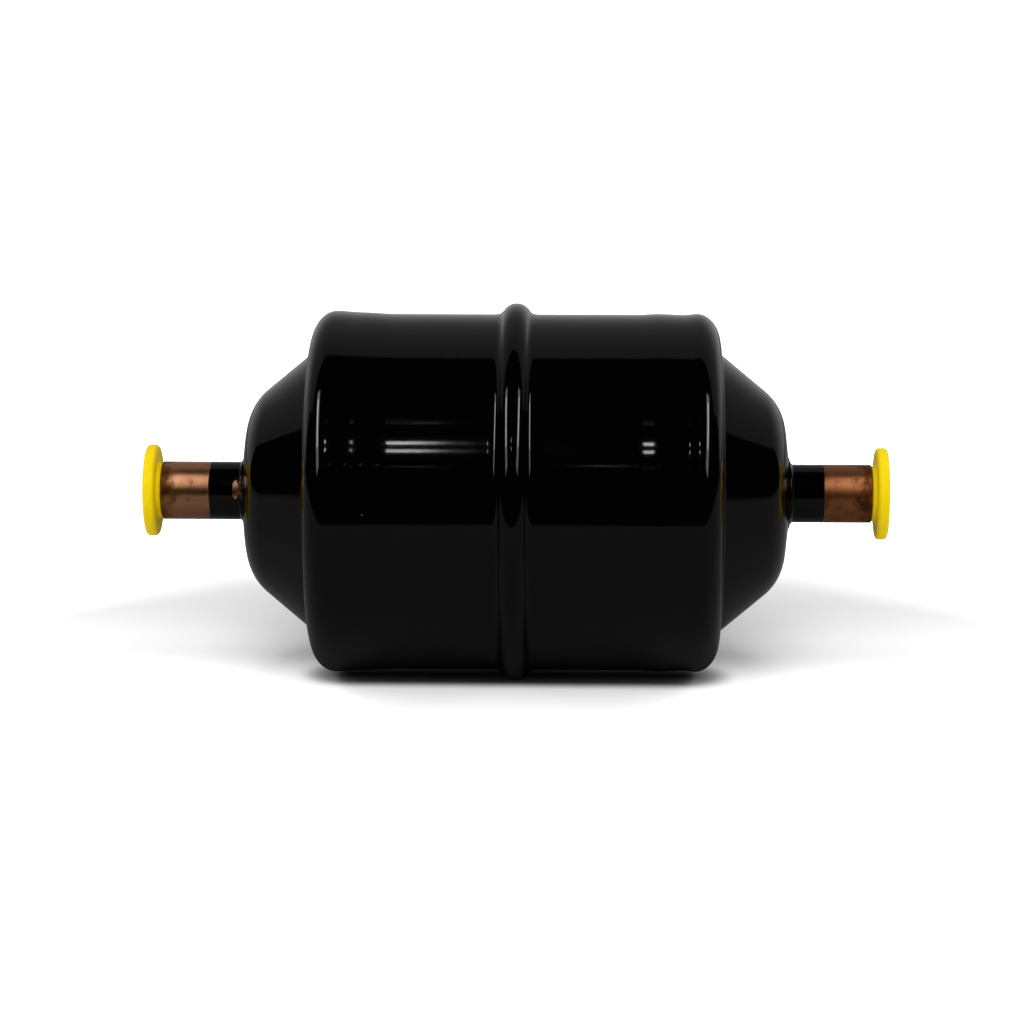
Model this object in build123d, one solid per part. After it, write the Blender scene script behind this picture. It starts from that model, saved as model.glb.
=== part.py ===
from build123d import *
import os
from math import atan2, cos, degrees, pi, radians, sin, tan

# Hermetic filter drier for a refrigerant liquid line, with solder stubs.
#
# Two drawn steel cups are welded mouth to mouth round a moulded drying core. A
# conical spring at the inlet end presses the core into a punched cup at the
# outlet end. A copper stub is brazed into each end of the shell and is closed
# by a plastic shipping plug.
#
# Millimetres. The flow runs along +X, the origin is on the axis in the plane of
# the weld, and +Z is up. Every turned outline is drawn with x along the axis
# and y as the radius.

# --- shell ---------------------------------------------------------------
SHELL_RADIUS = 38.0           # outside of the barrel beside the weld
SHELL_WALL = 1.5              # sheet thickness of both cups
BARREL_LENGTH = 87.8          # from one step to the other
FLARE_LENGTH = 12.9           # end of the barrel that swells towards the shoulder
SHOULDER_SWELL = 1.0          # how far the swelling rises by the step
FLARE_BEND = 50.0             # radius of the bend where the swelling starts
SHOULDER_BEND = 5.6           # radius of the rounded shoulder
STEP_WIDTH = 8.6              # radial width of the step below the barrel
STEP_BEND = 1.3               # radius of the hollow between step and cone
CONE_LENGTH = 14.7            # from the step to the end face, at the neck
CONE_TOP_RADIUS = 18.1        # sharp corner between cone and end face
CONE_TOP_BEND = 12.0          # radius that rounds that corner
END_DOME_ANGLE = 5.5          # slope of the end face, degrees
NECK_BEND = 2.2               # radius into the neck that holds the stub
NECK_DEPTH = 4.5              # neck drawn inwards, from the end face

# --- seam ----------------------------------------------------------------
SEAM_GAP = 1.0                # groove left open for the weld
LIP_LENGTH = 6.0              # lip of the outlet half inside the inlet half
LIP_CLEARANCE = 0.08          # radial, lip in the inlet half
JOGGLE_START = 2.5            # where the barrel turns in to the lip
JOGGLE_OUTER_BEND = 2.0
JOGGLE_INNER_BEND = 1.0
BEAD_HEIGHT = 2.35            # weld crown above the barrel
BEAD_CROWN_RADIUS = 2.6
BEAD_FLANK_ANGLE = 58.0       # steepest slope of the bead, degrees
BEAD_TOE_ANGLE = 20.0         # slope where the bead meets the barrel, degrees

# --- stubs and braze -----------------------------------------------------
SOCKET_RADIUS = 4.8           # takes a 3/8 inch pipe
SOCKET_DEPTH = 11.0
SOCKET_STOP = 0.8             # height of the sloped pipe stop
STUB_WALL = 1.4               # round the socket
STUB_OUT_LENGTH = 17.2        # stands out past the end face
STUB_IN_LENGTH = 8.6          # reaches inside, from the end face
STUB_EDGE = 0.3               # rounding of the stub's rims
SPIGOT_STEP = 0.3             # turned off the part that goes into the shell
NECK_CLEARANCE = 0.05         # radial, spigot in the neck
BRAZE_LEG = 0.7               # braze past the end face, up to the stub's shoulder
BRAZE_SPREAD = 1.4            # braze out over the end face
BRAZE_DEPTH = 1.2             # braze down into the neck's mouth

# --- shipping plugs ------------------------------------------------------
PLUG_FLANGE_REACH = 3.6       # flange past the outside of the stub
PLUG_FLANGE_THICKNESS = 2.5
PLUG_FLANGE_EDGE = 0.8
PLUG_COLLAR_STEP = 0.3        # collar inside the outside of the stub
PLUG_COLLAR_LENGTH = 0.9      # collar that stops on the stub's end
PLUG_SHANK_LENGTH = 8.0
PLUG_SHANK_TAPER = 0.35       # loss of radius towards the tip
PLUG_CLEARANCE = 0.08         # radial, shank in the socket's mouth
PLUG_WALL = 1.1
PLUG_TIP_EDGE = 0.5

# --- core and what is stacked against it ---------------------------------
CORE_ROOM = 1.4               # radial flow gap between core and lip
CORE_BORE_RADIUS = 10.0
CORE_FLOOR = 12.0             # solid part at the inlet end of the core
CORE_EDGE = 1.5               # bevel round both ends of the core
INLET_ROOM = 4.4              # from the inlet step to the core, inside
INLET_PAD_THICKNESS = 2.0
INLET_PAD_INSET = 1.1         # radial, pad inside the spring plate's rim
GASKET_THICKNESS = 1.5
GASKET_WIDTH = 15.0
MAT_THICKNESS = 4.0
SCREEN_THICKNESS = 0.4
STACK_CLEARANCE = 0.3         # radial, core in the support cup

# --- support cup ---------------------------------------------------------
CUP_WALL = 0.8
CUP_BEND = 2.6
CUP_RIM_HEIGHT = 9.5
CUP_HOLE_RADIUS = 1.9
CUP_HOLE_PITCH = 6.4          # between rings of holes, and about that along a ring
CUP_HOLE_RINGS = 4

# --- spring and plate ----------------------------------------------------
PLATE_THICKNESS = 1.0
PLATE_ROOM = 2.8              # radial, plate to the inner corner of the shell's step
PLATE_RIM_HEIGHT = 2.6        # rim round the spring, with the plate
PLATE_BEND = 1.6
PLATE_HOLE_RADIUS = 2.5
PLATE_HOLE_CIRCLE = 15.0
PLATE_HOLE_COUNT = 6
SPRING_WIRE = 2.2             # diameter of the wire
SPRING_CLEARANCE = 0.5        # radial, first turn in the plate's rim
SPRING_SMALL_RADIUS = 11.5    # centre of the wire at the small end
SPRING_TURNS = 3.5            # working turns
SPRING_DEAD_ANGLE = 270.0     # flat part-turn at each end, degrees
SPRING_SEAT_GAP = 0.1         # small end to the end wall

# --- outlet strainer -----------------------------------------------------
STRAINER_WALL = 0.4
STRAINER_OVERLAP = 3.0        # skirt over the spigot's inner end
STRAINER_REACH = 5.2          # from the spigot's end to the tip
STRAINER_CLEARANCE = 0.05     # radial, skirt on the spigot
STRAINER_BEND = 3.0

# --- places that several pieces share ------------------------------------
STEP_X = BARREL_LENGTH / 2
END_X = STEP_X + CONE_LENGTH
SHELL_BORE = SHELL_RADIUS - SHELL_WALL
LIP_RADIUS = SHELL_BORE - LIP_CLEARANCE
PORT_RADIUS = SOCKET_RADIUS - SOCKET_STOP
STUB_RADIUS = SOCKET_RADIUS + STUB_WALL
SPIGOT_RADIUS = STUB_RADIUS - SPIGOT_STEP
NECK_RADIUS = SPIGOT_RADIUS + NECK_CLEARANCE
PLUG_COLLAR_RADIUS = STUB_RADIUS - PLUG_COLLAR_STEP
PLUG_FLANGE_RADIUS = STUB_RADIUS + PLUG_FLANGE_REACH
STUB_SHOULDER_X = END_X + BRAZE_LEG
STUB_OUTER_X = END_X + STUB_OUT_LENGTH
STUB_INNER_X = END_X - STUB_IN_LENGTH
SEAT_X = STEP_X - SHELL_WALL
CUP_FLOOR_X = SEAT_X - CUP_WALL
DOWNSTREAM_SCREEN_X = CUP_FLOOR_X - SCREEN_THICKNESS
MAT_X = DOWNSTREAM_SCREEN_X - MAT_THICKNESS
UPSTREAM_SCREEN_X = MAT_X - SCREEN_THICKNESS
CORE_OUTLET_X = UPSTREAM_SCREEN_X - GASKET_THICKNESS
CORE_INLET_X = -SEAT_X + INLET_ROOM
PLATE_CORE_X = CORE_INLET_X - INLET_PAD_THICKNESS
PLATE_SPRING_X = PLATE_CORE_X - PLATE_THICKNESS
CORE_RADIUS = LIP_RADIUS - SHELL_WALL - CORE_ROOM
CUP_BORE = CORE_RADIUS + STACK_CLEARANCE
STACK_RADIUS = CUP_BORE - (CUP_BEND - CUP_WALL)
PLATE_RADIUS = SHELL_RADIUS - STEP_WIDTH - PLATE_ROOM
INLET_PAD_RADIUS = PLATE_RADIUS - INLET_PAD_INSET
SPRING_LARGE_RADIUS = PLATE_RADIUS - PLATE_THICKNESS - SPRING_CLEARANCE - SPRING_WIRE / 2


def turned(outline):
    """Solid made by turning a closed outline about the flow axis."""
    return revolve(make_face(outline), axis=Axis.X)


def ring(x_low, x_high, inner, outer):
    """Plain flat ring about the flow axis."""
    corners = [(x_low, inner), (x_high, inner), (x_high, outer), (x_low, outer)]
    return turned(Polyline(*corners, close=True))


def disc(x_low, x_high, radius):
    """Plain disc about the flow axis."""
    return ring(x_low, x_high, 0, radius)


def to_inlet(solid):
    """The same piece at the inlet end."""
    return mirror(solid, about=Plane.YZ)


def pressed(points, bends, thickness):
    """Sheet turned about the axis: an outer line with bends, thickened inwards."""
    line = Wire(FilletPolyline(*points, radius=bends).edges())
    return turned(line.offset_2d(thickness, side=Side.RIGHT).edges())


def half_shell(mouth, mouth_bends):
    """One drawn cup, from its mouth over the shoulder and the cone into the neck."""
    end_slope = tan(radians(END_DOME_ANGLE))
    points = mouth + [
        (STEP_X - FLARE_LENGTH, SHELL_RADIUS),
        (STEP_X, SHELL_RADIUS + SHOULDER_SWELL),
        (STEP_X, SHELL_RADIUS - STEP_WIDTH),
        (END_X - (CONE_TOP_RADIUS - NECK_RADIUS) * end_slope, CONE_TOP_RADIUS),
        (END_X, NECK_RADIUS),
        (END_X - NECK_DEPTH, NECK_RADIUS),
    ]
    bends = mouth_bends + [FLARE_BEND, SHOULDER_BEND, STEP_BEND, CONE_TOP_BEND, NECK_BEND]
    return pressed(points, bends, SHELL_WALL)


def outlet_half_shell():
    """Cup whose mouth is joggled in to a lip that the other cup slides over."""
    joggle = SHELL_RADIUS - LIP_RADIUS
    mouth = [
        (-LIP_LENGTH, LIP_RADIUS),
        (JOGGLE_START - joggle, LIP_RADIUS),
        (JOGGLE_START, SHELL_RADIUS),
    ]
    return half_shell(mouth, [JOGGLE_INNER_BEND, JOGGLE_OUTER_BEND])


def inlet_half_shell():
    """Cup with a plain cut mouth, at the edge of the weld groove."""
    return to_inlet(half_shell([(SEAM_GAP / 2, SHELL_RADIUS)], []))


def girth_weld(outlet_half):
    """Weld metal: a crown with hollow toes, and a root that fills the groove."""
    flank = radians(BEAD_FLANK_ANGLE)
    toe = radians(BEAD_TOE_ANGLE)
    flank_drop = BEAD_CROWN_RADIUS * (1 - cos(flank))
    toe_bend = (BEAD_HEIGHT - flank_drop) / (cos(toe) - cos(flank))
    flank_x = BEAD_CROWN_RADIUS * sin(flank)
    toe_x = flank_x + toe_bend * (sin(flank) - sin(toe))
    crown_point = (0, SHELL_RADIUS + BEAD_HEIGHT)
    flank_point = (flank_x, SHELL_RADIUS + BEAD_HEIGHT - flank_drop)
    toe_point = (toe_x, SHELL_RADIUS)
    crown = TangentArc(crown_point, flank_point, tangent=(1, 0))
    hollow = TangentArc(flank_point, toe_point, tangent=(cos(flank), -sin(flank)))
    shoulder_x = JOGGLE_START + JOGGLE_OUTER_BEND * tan(pi / 8)
    root = Polyline(
        toe_point,
        (shoulder_x, SHELL_RADIUS),
        (shoulder_x, SHELL_RADIUS - SHELL_WALL / 2),
        (JOGGLE_START - SHELL_RADIUS + LIP_RADIUS, LIP_RADIUS),
        (-SEAM_GAP / 2, LIP_RADIUS),
        (-SEAM_GAP / 2, SHELL_RADIUS),
        (-toe_x, SHELL_RADIUS),
    )
    half = [crown, hollow]
    other_half = [mirror(edge, about=Plane.YZ) for edge in half]
    return turned(half + other_half + [root]) - outlet_half


def stub():
    """Copper fitting: solder socket, pipe stop, and a spigot with a port into the shell."""
    stop_x = STUB_OUTER_X - SOCKET_DEPTH
    body = turned(Polyline(
        (STUB_INNER_X, PORT_RADIUS),
        (stop_x - SOCKET_STOP, PORT_RADIUS),
        (stop_x, SOCKET_RADIUS),
        (STUB_OUTER_X, SOCKET_RADIUS),
        (STUB_OUTER_X, STUB_RADIUS),
        (STUB_SHOULDER_X, STUB_RADIUS),
        (STUB_SHOULDER_X, SPIGOT_RADIUS),
        (STUB_INNER_X, SPIGOT_RADIUS),
        close=True,
    ))
    rims = body.edges().filter_by(GeomType.CIRCLE).group_by(Axis.X)
    return fillet(rims[0] + rims[-1], STUB_EDGE)


def braze_ring(half):
    """Braze metal that fills the neck's mouth and hollows up to the stub's shoulder."""
    foot = (STUB_SHOULDER_X, STUB_RADIUS)
    spread = (END_X, STUB_RADIUS + BRAZE_SPREAD)
    hollow = TangentArc(foot, spread, tangent=(-1, 0.35))
    back = Polyline(
        spread,
        (END_X - BRAZE_DEPTH, STUB_RADIUS + BRAZE_SPREAD),
        (END_X - BRAZE_DEPTH, SPIGOT_RADIUS),
        (STUB_SHOULDER_X, SPIGOT_RADIUS),
        foot,
    )
    return turned([hollow, back]) - half


def shipping_plug():
    """Moulded plug: hollow tapered shank, a stop collar and a flange to pull."""
    flange_x = STUB_OUTER_X + PLUG_COLLAR_LENGTH
    face_x = flange_x + PLUG_FLANGE_THICKNESS
    tip_x = STUB_OUTER_X - PLUG_SHANK_LENGTH
    shank_radius = SOCKET_RADIUS - PLUG_CLEARANCE
    tip_radius = shank_radius - PLUG_SHANK_TAPER
    body = turned(Polyline(
        (tip_x, 0),
        (tip_x, tip_radius),
        (STUB_OUTER_X, shank_radius),
        (STUB_OUTER_X, PLUG_COLLAR_RADIUS),
        (flange_x, PLUG_COLLAR_RADIUS),
        (flange_x, PLUG_FLANGE_RADIUS),
        (face_x, PLUG_FLANGE_RADIUS),
        (face_x, shank_radius - PLUG_WALL),
        (tip_x + PLUG_WALL, tip_radius - PLUG_WALL),
        (tip_x + PLUG_WALL, 0),
        close=True,
    ))
    circles = body.edges().filter_by(GeomType.CIRCLE)
    flange_rims = [edge for edge in circles if edge.radius > PLUG_FLANGE_RADIUS - PLUG_WALL]
    tip_rim = circles.group_by(Axis.X)[0]
    return fillet(tip_rim, PLUG_TIP_EDGE).fillet(PLUG_FLANGE_EDGE, flange_rims)


def desiccant_core():
    """Moulded block with bevelled ends and a blind bore from the outlet face."""
    floor_x = CORE_INLET_X + CORE_FLOOR
    return turned(Polyline(
        (CORE_INLET_X, 0),
        (CORE_INLET_X, CORE_RADIUS - CORE_EDGE),
        (CORE_INLET_X + CORE_EDGE, CORE_RADIUS),
        (CORE_OUTLET_X - CORE_EDGE, CORE_RADIUS),
        (CORE_OUTLET_X, CORE_RADIUS - CORE_EDGE),
        (CORE_OUTLET_X, CORE_BORE_RADIUS),
        (floor_x, CORE_BORE_RADIUS),
        (floor_x - CORE_EDGE, CORE_BORE_RADIUS - CORE_EDGE),
        (floor_x - CORE_EDGE, 0),
        close=True,
    ))


def ring_of_holes(x, circle, count, radius):
    """Punches along the flow axis, evenly spaced round a circle."""
    punches = []
    for index in range(count):
        turn = 2 * pi * index / count
        place = Pos(x, circle * cos(turn), circle * sin(turn))
        punches.append(place * Rot(0, 90, 0) * Cylinder(radius, 4 * CUP_WALL + PLATE_THICKNESS))
    return punches


def support_cup():
    """Pressed cup on the outlet step, punched with rings of holes."""
    outer = CUP_BORE + CUP_WALL
    rim_x = SEAT_X - CUP_RIM_HEIGHT
    cup = pressed([(rim_x, outer), (SEAT_X, outer), (SEAT_X, 0)], [CUP_BEND], CUP_WALL)
    punches = ring_of_holes(SEAT_X, 0, 1, CUP_HOLE_RADIUS)
    for index in range(1, CUP_HOLE_RINGS + 1):
        punches += ring_of_holes(SEAT_X, index * CUP_HOLE_PITCH, 6 * index, CUP_HOLE_RADIUS)
    return cup - punches


def spring_plate():
    """Pressed plate with a rim round the spring's first turn."""
    rim_x = PLATE_CORE_X - PLATE_RIM_HEIGHT
    points = [(PLATE_CORE_X, 0), (PLATE_CORE_X, PLATE_RADIUS), (rim_x, PLATE_RADIUS)]
    line = Wire(FilletPolyline(*points, radius=[PLATE_BEND]).edges())
    plate = turned(line.offset_2d(PLATE_THICKNESS, side=Side.LEFT).edges())
    return plate - ring_of_holes(PLATE_CORE_X, PLATE_HOLE_CIRCLE, PLATE_HOLE_COUNT, PLATE_HOLE_RADIUS)


def outlet_strainer():
    """Wire cloth thimble over the spigot's inner end."""
    outer = SPIGOT_RADIUS + STRAINER_CLEARANCE + STRAINER_WALL
    tip_x = STUB_INNER_X - STRAINER_REACH
    points = [(tip_x, 0), (tip_x, outer), (STUB_INNER_X + STRAINER_OVERLAP, outer)]
    return pressed(points, [STRAINER_BEND], STRAINER_WALL)


def end_wall_inside(radius):
    """Distance from the weld to the inside of the end wall, at a radius on its dome."""
    slope = radians(END_DOME_ANGLE)
    return END_X - (radius - NECK_RADIUS) * tan(slope) - SHELL_WALL / cos(slope)


def dead_turn(coil, end, start_angle):
    """Flat part-turn that closes one end of the spring's coil."""
    tip = coil @ end
    middle = Vector(tip.X, 0, 0)
    outward = tip - middle
    seat = Plane(origin=middle, x_dir=outward, z_dir=(-1, 0, 0))
    return seat * CenterArc((0, 0), outward.length, start_angle, SPRING_DEAD_ANGLE)


def core_spring():
    """Conical spring from the plate to the inlet end wall, closed at both ends."""
    wire_radius = SPRING_WIRE / 2
    small_x = SPRING_SEAT_GAP + wire_radius - end_wall_inside(SPRING_SMALL_RADIUS)
    large_x = PLATE_SPRING_X - wire_radius
    height = large_x - small_x
    slope = atan2(SPRING_LARGE_RADIUS - SPRING_SMALL_RADIUS, height)
    pitch = height / cos(slope) / SPRING_TURNS
    coil = Helix(
        pitch,
        height,
        SPRING_LARGE_RADIUS,
        center=(large_x, 0, 0),
        direction=(-1, 0, 0),
        cone_angle=-degrees(slope),
    )
    turns = [dead_turn(coil, 0, -SPRING_DEAD_ANGLE), coil, dead_turn(coil, 1, 0)]
    path = Wire([edge for turn in turns for edge in turn.edges()])
    section = Plane(origin=path @ 0, z_dir=path % 0) * Circle(wire_radius)
    return sweep(section, path=path, is_frenet=True)


def mirrored_pair(name, solid):
    """The outlet's piece and the same piece at the inlet."""
    return {"outlet_" + name: solid, "inlet_" + name: to_inlet(solid)}


def pieces():
    """Every piece of the drier by name."""
    outlet_half = outlet_half_shell()
    gasket_bore = CORE_RADIUS - GASKET_WIDTH
    return {
        "inlet_half_shell": inlet_half_shell(),
        "outlet_half_shell": outlet_half,
        "girth_weld": girth_weld(outlet_half),
        **mirrored_pair("stub", stub()),
        **mirrored_pair("braze_ring", braze_ring(outlet_half)),
        **mirrored_pair("cap", shipping_plug()),
        "core_spring": core_spring(),
        "spring_plate": spring_plate(),
        "inlet_pad": disc(PLATE_CORE_X, CORE_INLET_X, INLET_PAD_RADIUS),
        "desiccant_core": desiccant_core(),
        "core_gasket": ring(CORE_OUTLET_X, UPSTREAM_SCREEN_X, gasket_bore, CORE_RADIUS),
        "upstream_screen": disc(UPSTREAM_SCREEN_X, MAT_X, STACK_RADIUS),
        "filter_mat": disc(MAT_X, DOWNSTREAM_SCREEN_X, STACK_RADIUS),
        "downstream_screen": disc(DOWNSTREAM_SCREEN_X, CUP_FLOOR_X, STACK_RADIUS),
        "support_cup": support_cup(),
        "outlet_strainer": outlet_strainer(),
    }


os.makedirs("parts", exist_ok=True)
for name, solid in pieces().items():
    export_step(solid, f"parts/{name}.step")
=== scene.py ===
from math import atan2, cos, pi, radians, sin, tan

import bpy
from mathutils import Matrix, Vector


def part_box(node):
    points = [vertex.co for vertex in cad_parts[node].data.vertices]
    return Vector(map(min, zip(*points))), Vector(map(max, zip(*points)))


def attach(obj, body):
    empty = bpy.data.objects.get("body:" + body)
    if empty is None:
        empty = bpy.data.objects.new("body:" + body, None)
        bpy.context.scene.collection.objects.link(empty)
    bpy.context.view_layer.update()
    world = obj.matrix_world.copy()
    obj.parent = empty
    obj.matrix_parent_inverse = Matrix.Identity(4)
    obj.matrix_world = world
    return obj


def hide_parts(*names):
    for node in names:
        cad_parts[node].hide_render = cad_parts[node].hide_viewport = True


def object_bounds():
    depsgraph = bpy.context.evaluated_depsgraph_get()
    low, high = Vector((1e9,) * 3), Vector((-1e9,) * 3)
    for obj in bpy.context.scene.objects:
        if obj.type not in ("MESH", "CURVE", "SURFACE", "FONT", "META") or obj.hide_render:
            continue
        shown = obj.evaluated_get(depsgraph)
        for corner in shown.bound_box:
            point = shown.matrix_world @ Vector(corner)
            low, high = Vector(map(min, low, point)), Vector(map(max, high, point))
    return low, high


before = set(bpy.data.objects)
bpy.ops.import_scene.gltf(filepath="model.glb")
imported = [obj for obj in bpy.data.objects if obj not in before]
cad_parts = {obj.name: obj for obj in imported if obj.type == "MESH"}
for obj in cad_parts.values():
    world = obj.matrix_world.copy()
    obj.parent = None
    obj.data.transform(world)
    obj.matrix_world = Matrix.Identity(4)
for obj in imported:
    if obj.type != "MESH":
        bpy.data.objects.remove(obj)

bl_info = {
    "name": "Filter drier",
    "version": (1, 0, 0),
    "blender": (4, 5, 0),
    "location": "3D View > Sidebar > Drier",
    "description": "Shell, stubs, plugs and inner parts of a hermetic filter drier",
    "category": "Add Mesh",
}

# The flow axis is X, the weld lies in the plane X = 0 and Z is up. A turned
# piece is drawn as an outline of (x, radius) points and then turned about X.

CAD_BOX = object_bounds()
SHELL_WALL = 0.0015
WELD_SPLIT = 0.005           # the bead's piece ends here, and the barrel's starts
WELD_FADE = 0.0046           # the bead's toe meets the barrel here
ROUND_SEGMENTS = 144         # faces round a stub, braze ring or plug

# Where each end of the barrel rises or sinks: from, to and how much, in metres
# from the weld. The press left a ripple before the crest of the shoulder.
INLET_RISES = ((0.0252, 0.0332, 0.00033), (0.0327, 0.0384, 0.00031))
OUTLET_RISES = ((0.0252, 0.0304, 0.00020), (0.0304, 0.0360, -0.00019), (0.0356, 0.0386, 0.00025))

# Marks in the paint of each half: place, radius, depth of the bump and shade.
INLET_MARKS = (
    (-0.0499, -0.0148, -0.0184, 0.00045, -0.00012, 0.002),
    (-0.0553, -0.0145, -0.0073, 0.0003, 0.00006, 0.12),
)
OUTLET_MARKS = ((0.0475, -0.0224, -0.012, 0.0004, 0.00003, 0.03),)

# Bare spot in the paint of the inlet stub: middle and half sizes.
BARE_SPOT = ((-0.0597, -0.0060, 0.0014), (0.0007, 0.0030, 0.0020))

# Stage: what the camera aims at, and the edges of the table top and backdrop.
CAMERA_AIM = (-0.0009, 0.0, -0.0044)
TABLE_FRONT, TABLE_BACK, TABLE_SIDE = -0.285, 1.2, 2.4
CONTACT_HALF = 0.036         # half the length of the contact line, along which the table's colour is painted darker
BACKDROP_RADIUS, BACKDROP_STEPS = 1.2, 40
BACKDROP_FROM, BACKDROP_TO = radians(-2.0), radians(74.3)

# Side lamps: azimuth, elevation, distance, width and length, and how they lean.
SOFTBOX = (56.3, 38.6, 1.25, 0.30, 1.10)
SOFTBOX_CORE = (61.0, 41.5, 1.2, 0.09, 0.60)
SOFTBOX_LEAN = (0, 0.83, 0.56)

# Room lamps that show as small glints: name, place, width, height and glow.
SMALL_LAMPS = (
    ("upper_tube", (-0.1082, -1.1389, 1.0277), 0.034, 0.048, 26.0),
    ("lower_tube", (-0.1082, -1.2260, 0.9228), 0.034, 0.048, 22.0),
    ("upper_tube_end", (-0.0930, -1.1343, 1.0330), 0.020, 0.030, 3.5),
    ("lower_tube_end", (-0.0930, -1.2218, 0.9285), 0.020, 0.030, 3.5),
    ("ceiling_patch", (-0.1052, -0.8557, 1.2714), 0.040, 0.090, 0.15),
    ("ceiling_spot", (-0.0924, -0.8745, 1.2606), 0.008, 0.034, 2.0),
    ("low_tube", (-0.0989, -1.3673, 0.6980), 0.020, 0.014, 1.2),
    ("low_tube_middle", (0.0155, -1.3569, 0.7232), 0.010, 0.012, 5.0),
)


# --- sizes and colours ---------------------------------------------------

def length(name, default, description):
    """A length the user can change, shown in the scene's units."""
    return bpy.props.FloatProperty(
        name=name, description=description, default=default, min=0.0, unit="LENGTH", precision=5)


def colour(name, default, description):
    """A colour the user can change."""
    return bpy.props.FloatVectorProperty(
        name=name, description=description, default=default, subtype="COLOR", min=0.0, max=1.0)


def share(name, default, description):
    """A factor from 0 to 1 that the user can change."""
    return bpy.props.FloatProperty(
        name=name, description=description, default=default, min=0.0, max=1.0, subtype="FACTOR")


class DrierShell(bpy.types.PropertyGroup):
    """Painted steel shell."""
    radius: length("Barrel radius", 0.038, "Outside of the barrel beside the weld")
    wall: length("Wall", SHELL_WALL, "Thickness of the drawn sheet")
    step_x: length("Step", 0.0434, "From the weld to the step behind the shoulder")
    shoulder_length: length("Shoulder length", 0.005, "From the barrel's crest to the step")
    shoulder_depth: length("Shoulder depth", 0.0066, "How far in the shoulder is rounded")
    foot_radius: length("Step foot", 0.0298, "Radius at the foot of the step")
    step_bend: length("Step bend", 0.0013, "Radius of the hollow at the foot of the step")
    cone_length: length("Cone", 0.0149, "From the step to the end face")
    cone_top_radius: length("Cone top", 0.0188, "Radius where cone and end face meet")
    cone_top_bend: length("Cone top bend", 0.012, "Radius that rounds cone into end face")
    end_slope: bpy.props.FloatProperty(
        name="End slope", description="Fall of the end face", default=radians(7.0), subtype="ANGLE")
    neck_radius: length("Neck", 0.00595, "Bore of the neck")
    neck_bend: length("Neck bend", 0.0022, "Radius from the end face into the neck")
    neck_depth: length("Neck depth", 0.0045, "How far the neck is drawn in")
    segments: bpy.props.IntProperty(
        name="Segments", description="Faces round the shell", default=288, min=24, max=512)


class DrierWeld(bpy.types.PropertyGroup):
    """Bead of the girth weld."""
    height: length("Height", 0.00235, "Crown above the barrel")
    crown: length("Crown", 0.00175, "From the middle to where the flank's line meets the crown's")
    toe: length("Toe", 0.0032, "From the middle to the toe")
    crown_bend: length("Crown bend", 0.0031, "Rounding of the crown")
    toe_bend: length("Toe bend", 0.0019, "Hollow from the flank to the barrel")
    toe_height: length("Toe height", 0.00012, "Toe above the barrel")
    fade_bend: length("Fade bend", 0.01, "Rounding where the toe runs into the barrel")


class DrierStub(bpy.types.PropertyGroup):
    """Copper stubs and the braze round them."""
    end_x: length("End face", 0.0583, "From the weld to the shell's end face")
    radius: length("Stub radius", 0.0062, "Outside of the stub")
    spigot_radius: length("Spigot radius", 0.0059, "The part that goes into the shell")
    out_length: length("Length outside", 0.0175, "How far the stub stands out")
    in_length: length("Length inside", 0.0083, "How far the stub reaches in")
    edge: length("Edge", 0.0003, "Rounding of the rims")
    socket_radius: length("Socket", 0.0048, "Bore for the pipe")
    socket_depth: length("Socket depth", 0.011, "Depth of the socket")
    port_radius: length("Port", 0.004, "Bore behind the pipe stop")
    braze_leg: length("Braze leg", 0.0007, "Braze past the end face")
    braze_spread: length("Braze spread", 0.0014, "Braze out over the end face")
    inlet_paint: length("Paint on inlet stub", 0.0071, "From the end face to the paint's edge")
    outlet_paint: length("Paint on outlet stub", 0.0073, "From the end face to the paint's edge")


class DrierPlug(bpy.types.PropertyGroup):
    """Plastic shipping plugs."""
    flange_radius: length("Flange radius", 0.0098, "Flange to pull by")
    flange_thickness: length("Flange thickness", 0.0025, "Flange to pull by")
    flange_edge: length("Flange edge", 0.0008, "Rounding of the flange")
    collar_radius: length("Collar radius", 0.0059, "Collar against the stub's end")
    collar_length: length("Collar length", 0.0009, "Collar against the stub's end")
    shank_length: length("Shank length", 0.008, "Shank in the socket")
    shank_radius: length("Shank radius", 0.00472, "Shank at the socket's mouth")
    shank_taper: length("Shank taper", 0.00035, "Loss of radius towards the tip")
    wall: length("Wall", 0.0011, "Wall of the hollow shank")


class DrierSpring(bpy.types.PropertyGroup):
    """Conical spring behind the core."""
    wire_radius: length("Wire radius", 0.0011, "Half the thickness of the wire")
    turns: bpy.props.FloatProperty(
        name="Working turns", description="Turns between the closed ends", default=3.5, min=1.0)
    dead_turn: bpy.props.FloatProperty(
        name="Closed end", description="Flat part-turn at each end",
        default=radians(270.0), subtype="ANGLE")
    start_angle: bpy.props.FloatProperty(
        name="Start", description="Where the wire starts at the large end",
        default=radians(270.0), subtype="ANGLE")
    small_radius: length("Small radius", 0.0115, "Middle of the wire at the small end")
    segments: bpy.props.IntProperty(
        name="Segments", description="Sections along the wire", default=420, min=60, max=2000)


class DrierFinish(bpy.types.PropertyGroup):
    """Colours of the outer pieces."""
    paint: colour("Paint", (0.0005, 0.0005, 0.0006), "Gloss powder coat")
    paint_gloss: share("Paint roughness", 0.055, "Roughness of the clean powder coat")
    inlet_copper: colour("Inlet copper", (0.74, 0.36, 0.19), "Drawn copper, fairly bright")
    outlet_copper: colour("Outlet copper", (0.66, 0.27, 0.11), "Drawn copper, browner")
    oxide: colour("Oxide", (0.13, 0.045, 0.02), "Dulled copper")
    plug: colour("Plug", (0.93, 0.695, 0.002), "Moulded plastic")


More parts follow.
